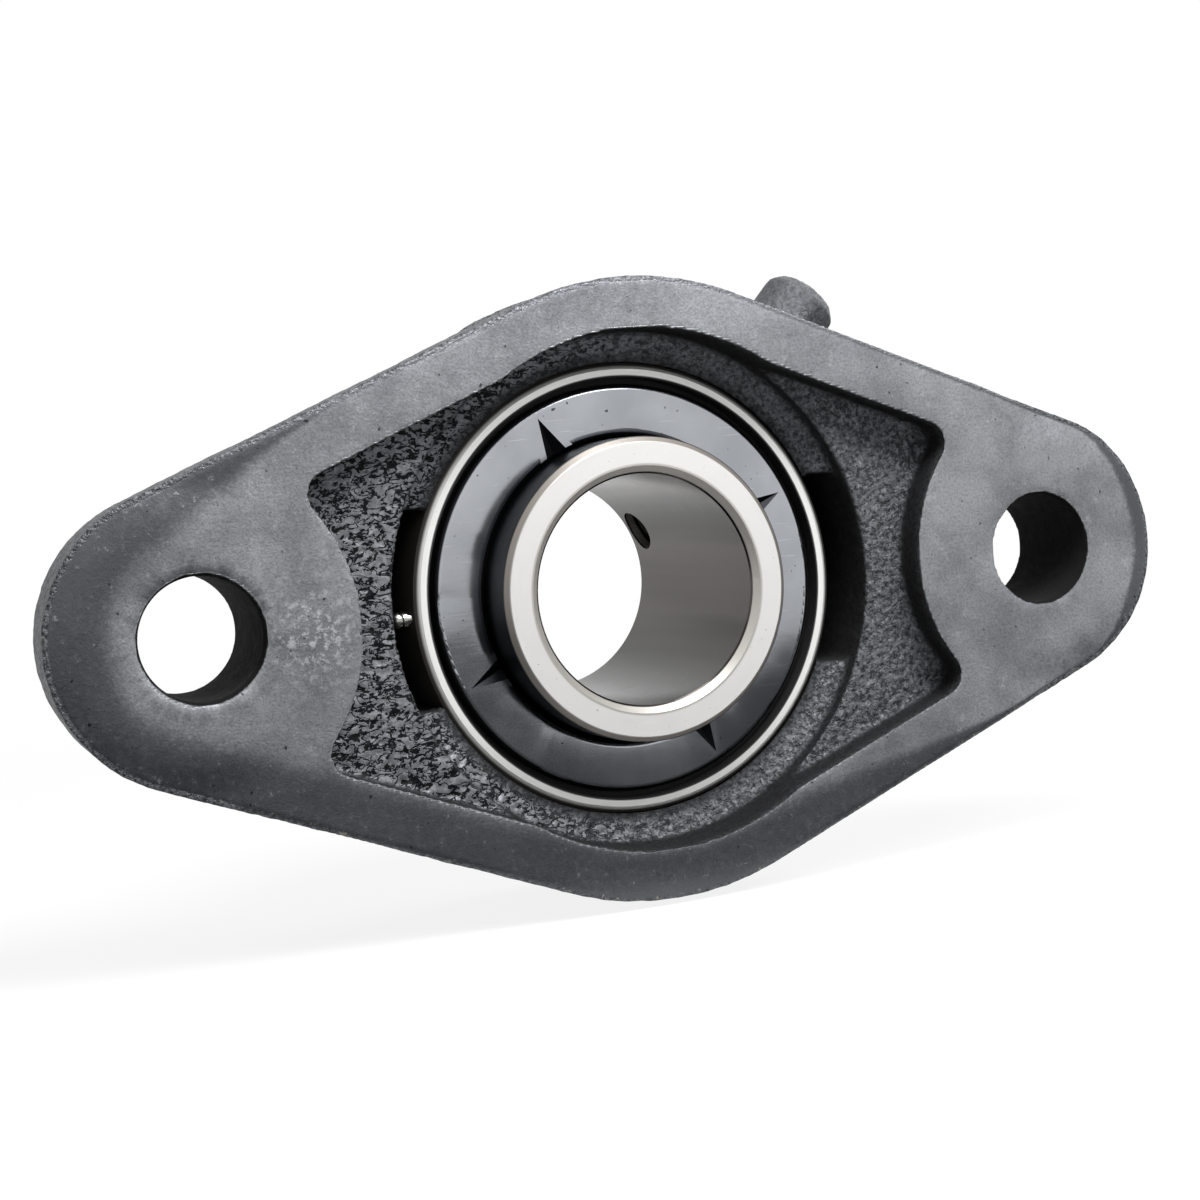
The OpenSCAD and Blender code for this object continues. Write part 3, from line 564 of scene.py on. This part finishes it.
class BearingLook(bpy.types.PropertyGroup):
    """Sizes and colours of the finishes."""
    land_light: bpy.props.StringProperty(
        name="Light land", description="Paler patches of the flat faces", default="#96989c")
    land_dark: bpy.props.StringProperty(
        name="Dark land", description="Darker patches of the flat faces", default="#7b7d81")
    # Painted shade for the band along the flange's rim, also the colour of the scuffs round the bolt holes
    rim_shade_and_scuffs: bpy.props.StringProperty(
        name="Dark rim", description="The duller band along the rim of the flange", default="#47484c")
    rubbed: bpy.props.StringProperty(
        name="Rubbed iron", description="High spots that are rubbed bright", default="#b9bbbd")
    cast: bpy.props.StringProperty(
        name="Cast skin", description="The crinkled skin of the recess, on the left", default="#626468")
    cast_far: bpy.props.StringProperty(
        name="Darker cast skin", description="The crinkled skin of the recess, on the right", default="#505256")
    # Near black painted shade for the walls of the recess, the holes and the slots
    wall_shade_colour: bpy.props.StringProperty(
        name="Walls", description="The walls of the recess, the holes and the slots", default="#0a0a0b")
    # Dark pits, and painted shade in the creases of the cast skin
    pit_and_crease_shade: bpy.props.StringProperty(
        name="Pits", description="Pits and creases of the cast skin", default="#101113")
    voxel: bpy.props.FloatProperty(
        name="Skin resolution", description="Size of the smallest facet on the casting",
        default=0.38 * MM, min=0.2 * MM, max=1.0 * MM, unit="LENGTH", precision=5)
    crust: bpy.props.FloatProperty(
        name="Crease spacing", description="Distance in millimetres between the creases in the recess",
        default=1.4, min=0.4, max=3.0)
    boss_share: bpy.props.FloatProperty(
        name="Boss girth", description="Share of its full girth that the worn grease boss keeps",
        default=0.8, min=0.6, max=1.0)
    flinger_rim: bpy.props.FloatProperty(
        name="Flinger rim", description="Millimetres that the rims of the flingers are rolled outwards",
        default=0.65, min=0.0, max=1.0)
    wrinkle: bpy.props.FloatProperty(
        name="Wrinkle size", description="Size in millimetres of the wrinkles on the recess floor",
        default=1.3, min=0.8, max=4.0)
    wrinkle_depth: bpy.props.FloatProperty(
        name="Wrinkle depth", description="Depth in millimetres of the wrinkles on the recess floor",
        default=0.32, min=0.0, max=0.6)
    world_light: bpy.props.FloatProperty(
        name="Soft light", description="Strength of the even light from all round", default=0.2, min=0.0, max=1.0)
    key_power: bpy.props.FloatProperty(
        name="Key lamp", description="Power of the large soft lamp in front",
        default=1.4, min=0.0, max=20.0, unit="POWER")
    fill_power: bpy.props.FloatProperty(
        name="Top lamp", description="Power of the soft lamp above",
        default=0.9, min=0.0, max=20.0, unit="POWER")
    rear_power: bpy.props.FloatProperty(
        name="Rear lamp", description="Power of the soft lamp behind",
        default=1.3, min=0.0, max=20.0, unit="POWER")
    lens: bpy.props.FloatProperty(
        name="Lens", description="Focal length of the camera in millimetres", default=63.6, min=20.0, max=200.0)


# Stage

def seen_share(tree):
    """1 for what is seen, straight or in a glossy surface, and 0 for light that only falls on things."""
    path = add(tree, "ShaderNodeLightPath").outputs
    seen = sum_of(tree, path["Is Camera Ray"], path["Is Transmission Ray"], "MAXIMUM")
    return sum_of(tree, seen, path["Is Glossy Ray"], "MAXIMUM")


def flat_sheet(name, cells, half_side):
    """A flat square of cells by cells faces, linked to the scene."""
    mesh = bpy.data.meshes.new(name)
    work = bmesh.new()
    bmesh.ops.create_grid(work, x_segments=cells, y_segments=cells, size=half_side)
    work.to_mesh(mesh)
    work.free()
    sheet = bpy.data.objects.new(name, mesh)
    bpy.context.scene.collection.objects.link(sheet)
    return sheet


def lamp(name, spot, size, power):
    """A round soft lamp, aimed at the middle of the bearing."""
    light = bpy.data.lights.new(name, "AREA")
    light.shape = "DISK"
    light.size = size
    light.energy = power
    piece = bpy.data.objects.new(name, light)
    piece.location = spot
    aim = Vector((0, 0.01, 0)) - piece.location
    piece.rotation_euler = aim.to_track_quat("-Z", "Y").to_euler()
    bpy.context.scene.collection.objects.link(piece)


# One operator for each group of pieces

class BEARING_OT_stage(bpy.types.Operator):
    """Sets up the camera, the soft lamps, the pale floor and the white surroundings"""
    bl_idname = "bearing.stage"
    bl_label = "Stage"

    def execute(self, context):
        look = context.scene.bearing_look
        scene = context.scene
        scene.view_settings.view_transform = "Standard"
        camera = bpy.data.objects.new("camera", bpy.data.cameras.new("camera"))
        camera.data.sensor_width = 36.0
        camera.data.lens = look.lens
        camera.data.clip_start = 0.01
        # The camera's axes and place, as fitted to the photograph
        right = Vector((0.92091, -0.38079, -0.08324))
        up = Vector((0.10166, 0.02848, 0.99441))
        back = Vector((-0.37629, -0.92422, 0.06494))
        place = Matrix((right, up, back)).transposed().to_4x4()
        place.translation = (-0.10883, -0.24802, 0.01693)
        camera.matrix_world = place
        scene.collection.objects.link(camera)
        scene.camera = camera

        lamp("key_lamp", (0.16, -0.30, 0.34), 0.22, look.key_power)
        lamp("top_lamp", (0.02, -0.09, 0.19), 0.12, look.fill_power)
        lamp("rear_lamp", (0.36, 0.24, 0.24), 0.22, look.rear_power)

        world = bpy.data.worlds.new("white_surroundings")
        world.use_nodes = True
        tree = world.node_tree
        scene.world = world
        strength = span(tree, seen_share(tree), 0.0, 1.0, look.world_light, 1.0)
        background = tree.nodes["Background"]
        background.inputs["Color"].default_value = (1, 1, 1, 1)
        tree.links.new(strength, background.inputs["Strength"])

        low = cad_box[0][2]
        # A dark card under the camera, which only shows as a reflection on what faces down
        card = flat_sheet("dark_card", 4, 0.3)
        card.location = (-0.03, -0.255, low + 0.001)
        card.scale = (0.6, 0.83, 1.0)
        card.visible_camera = False
        card.visible_diffuse = False
        card.visible_shadow = False
        card.visible_transmission = False
        cloth = bpy.data.materials.new("black_felt")
        cloth.use_nodes = True
        shader = cloth.node_tree.nodes["Principled BSDF"]
        shader.inputs["Base Color"].default_value = linear("#1a1a1b")
        shader.inputs["Roughness"].default_value = 1.0
        dress(card.data, cloth)

        floor = flat_sheet("floor", 8, 6.0)
        floor.location = (0, 0, low - 0.0005)
        material = bpy.data.materials.new("matt_white_paper")
        material.use_nodes = True
        tree = material.node_tree
        shader = tree.nodes["Principled BSDF"]
        shader.inputs["Base Color"].default_value = linear("#f4f4f4")
        shader.inputs["Roughness"].default_value = 0.9
        seen = seen_share(tree)
        place = add(tree, "ShaderNodeTexCoord").outputs["Object"]
        away = add(tree, "ShaderNodeVectorMath", {0: place}, operation="LENGTH").outputs["Value"]
        share = sum_of(tree, seen, span(tree, away, 0.05, 0.35, 0.86, 1.0), "MULTIPLY")
        white = add(tree, "ShaderNodeEmission", {"Color": (1, 1, 1, 1), "Strength": 1.0})
        mixed = add(tree, "ShaderNodeMixShader", {0: share, 1: shader.outputs[0], 2: white.outputs[0]})
        tree.links.new(mixed.outputs[0], tree.nodes["Material Output"].inputs["Surface"])
        dress(floor.data, material)
        return {"FINISHED"}


class BEARING_OT_housing(bpy.types.Operator):
    """Gives the casting its soft edges and sand-cast skin"""
    bl_idname = "bearing.housing"
    bl_label = "Housing"

    def execute(self, context):
        look = context.scene.bearing_look
        piece = merged_copy("flange_housing", "housing_casting")
        skin = piece.modifiers.new("skin", "REMESH")
        skin.mode = "VOXEL"
        skin.voxel_size = look.voxel
        soft = piece.modifiers.new("soft_edges", "SMOOTH")
        soft.factor = 0.5
        soft.iterations = 5
        bake_modifiers(piece)
        cast_skin(piece, look)
        shade_smooth(piece.data)
        dress(piece.data, sand_cast_iron(look))
        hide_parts("flange_housing")
        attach(piece, "housing")
        return {"FINISHED"}


class BEARING_OT_rings(bpy.types.Operator):
    """Finishes the outer and inner rings"""
    bl_idname = "bearing.rings"
    bl_label = "Rings"

    def execute(self, context):
        give(["outer_ring"], ground_bearing_steel())
        give(["inner_ring"], turned_ring_steel())
        return {"FINISHED"}


class BEARING_OT_balls_and_cage(bpy.types.Operator):
    """Finishes the balls, the cage halves and their rivets"""
    bl_idname = "bearing.balls_and_cage"
    bl_label = "Balls and cage"

    def execute(self, context):
        give([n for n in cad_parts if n.startswith("ball_")], lapped_ball_steel())
        give(["cage_back", "cage_front", "cage_rivets"], pressed_steel())
        return {"FINISHED"}


class BEARING_OT_seals(bpy.types.Operator):
    """Finishes the seals and the flingers in front of them"""
    bl_idname = "bearing.seals"
    bl_label = "Seals and flingers"

    def execute(self, context):
        look = context.scene.bearing_look
        give(["seal_core_back", "seal_core_front"], blackened_strip())
        give(["seal_lip_back", "seal_lip_front"], nitrile_rubber())
        strip = phosphated_strip()
        for node, name in (("flinger_back", "back_flinger_plate"), ("flinger_front", "front_flinger_plate")):
            piece = merged_copy(node, name)
            widen_rim(piece, look.flinger_rim)
            dress(piece.data, strip)
            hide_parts(node)
            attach(piece, "inner_ring")
        return {"FINISHED"}


class BEARING_OT_screws(bpy.types.Operator):
    """Finishes the set screws and the locating pin"""
    bl_idname = "bearing.screws"
    bl_label = "Screws and pin"

    def execute(self, context):
        give(["set_screw_1", "set_screw_2"], black_oxide_steel())
        give(["locating_pin"], bright_pin_steel())
        return {"FINISHED"}


class BEARING_OT_nipple(bpy.types.Operator):
    """Finishes the grease nipple, its ball and its spring"""
    bl_idname = "bearing.nipple"
    bl_label = "Grease nipple"

    def execute(self, context):
        give(["grease_nipple"], zinc_plated_fitting())
        give(["nipple_ball"], lapped_ball_steel())
        coil = merged_copy("nipple_spring", "nipple_coil")
        shade_smooth(coil.data)
        dress(coil.data, spring_wire())
        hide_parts("nipple_spring")
        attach(coil, "housing")
        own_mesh(coil)
        return {"FINISHED"}


OPERATORS = (BEARING_OT_stage, BEARING_OT_housing, BEARING_OT_rings, BEARING_OT_balls_and_cage,
             BEARING_OT_seals, BEARING_OT_screws, BEARING_OT_nipple)


class BEARING_PT_panel(bpy.types.Panel):
    """Lists the settings and the pieces"""
    bl_label = "Flange bearing"
    bl_space_type = "VIEW_3D"
    bl_region_type = "UI"
    bl_category = "Bearing"

    def draw(self, context):
        look = context.scene.bearing_look
        for name in look.__annotations__:
            self.layout.prop(look, name)
        for operator in OPERATORS:
            self.layout.operator(operator.bl_idname)


CLASSES = (BearingLook, *OPERATORS, BEARING_PT_panel)


def register():
    """Registers the classes and the settings."""
    for cls in CLASSES:
        bpy.utils.register_class(cls)
    bpy.types.Scene.bearing_look = bpy.props.PointerProperty(type=BearingLook)


def unregister():
    """Takes the settings and the classes out again."""
    del bpy.types.Scene.bearing_look
    for cls in reversed(CLASSES):
        bpy.utils.unregister_class(cls)


def main():
    """Builds the stage and dresses every piece."""
    register()
    for operator in OPERATORS:
        group, name = operator.bl_idname.split(".")
        getattr(getattr(bpy.ops, group), name)()


if __name__ == "__main__":
    main()
